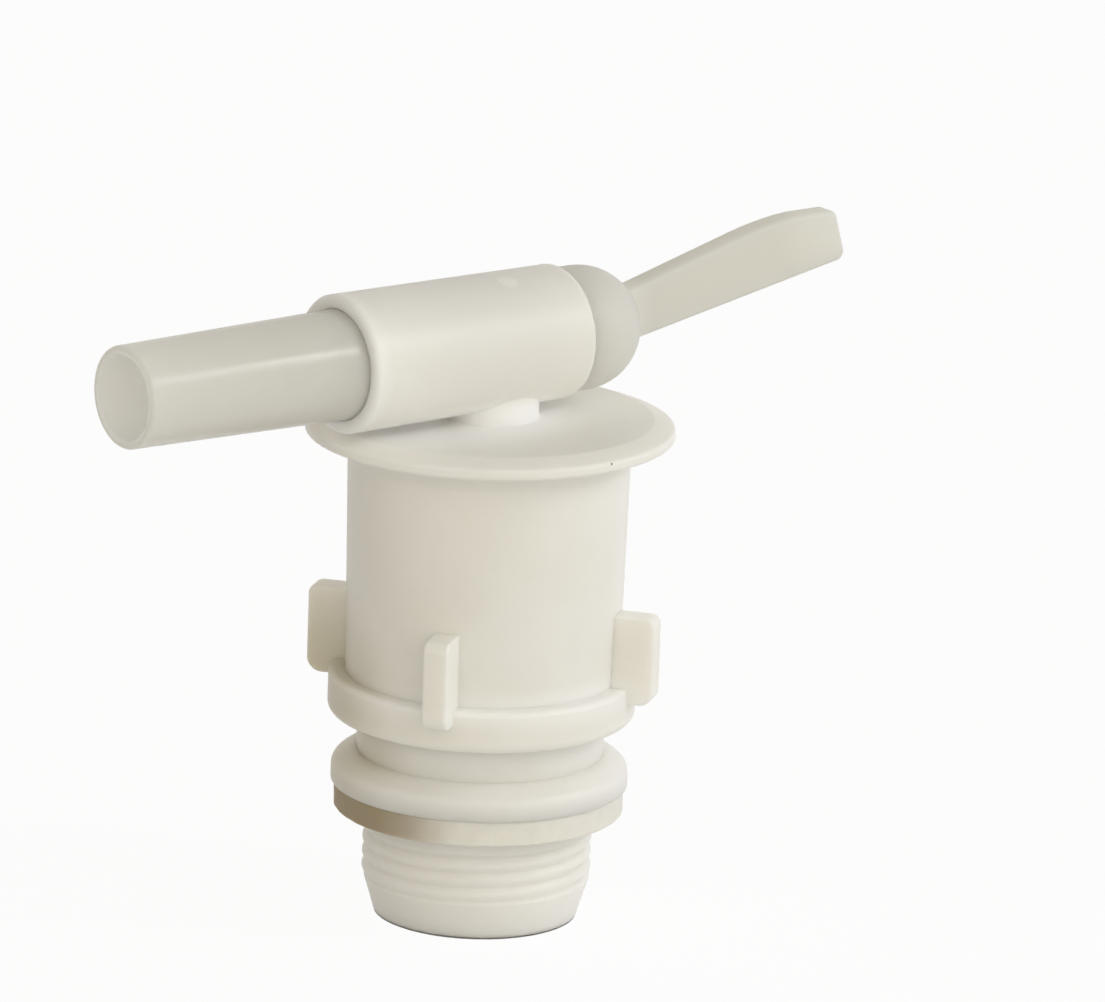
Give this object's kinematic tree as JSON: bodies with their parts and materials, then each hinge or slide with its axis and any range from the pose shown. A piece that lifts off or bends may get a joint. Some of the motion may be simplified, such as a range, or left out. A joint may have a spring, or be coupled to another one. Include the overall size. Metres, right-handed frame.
{
  "type": "water butt tap",
  "caption": "Plastic tap for a water butt: threaded tail with gasket, hollow column with flange and grip lugs, and a turning plug that carries the spout and a flat lever.",
  "frame": {"origin": "on the thread's axis, at the gasket's sealing face against the tank's wall", "axes": "+Z along the thread's axis away from the tank, -X towards the spout's mouth, +X towards the lever"},
  "size_m": [0.091, 0.0382, 0.07],
  "materials": {
    "body_plastic": "natural milky plastic, satin",
    "plug_plastic": "natural translucent plastic, satin",
    "tail_plastic": "natural milky plastic, satin",
    "seal_rubber": "pale soft rubber",
    "gasket_rubber": "beige soft rubber, dull"
  },
  "bodies": {
    "tap": {"tap_body": "body_plastic", "threaded_tail": "tail_plastic", "tail_seal_ring": "seal_rubber", "flange_gasket": "gasket_rubber"},
    "plug": {"turning_plug": "plug_plastic"}
  },
  "joints": [
    {"name": "plug_turn", "type": "hinge", "parent": "tap", "child": "plug", "pos_m": [0, 0, 0.0499], "axis": [1, 0, 0], "range_deg": [0, 90]}
  ]
}
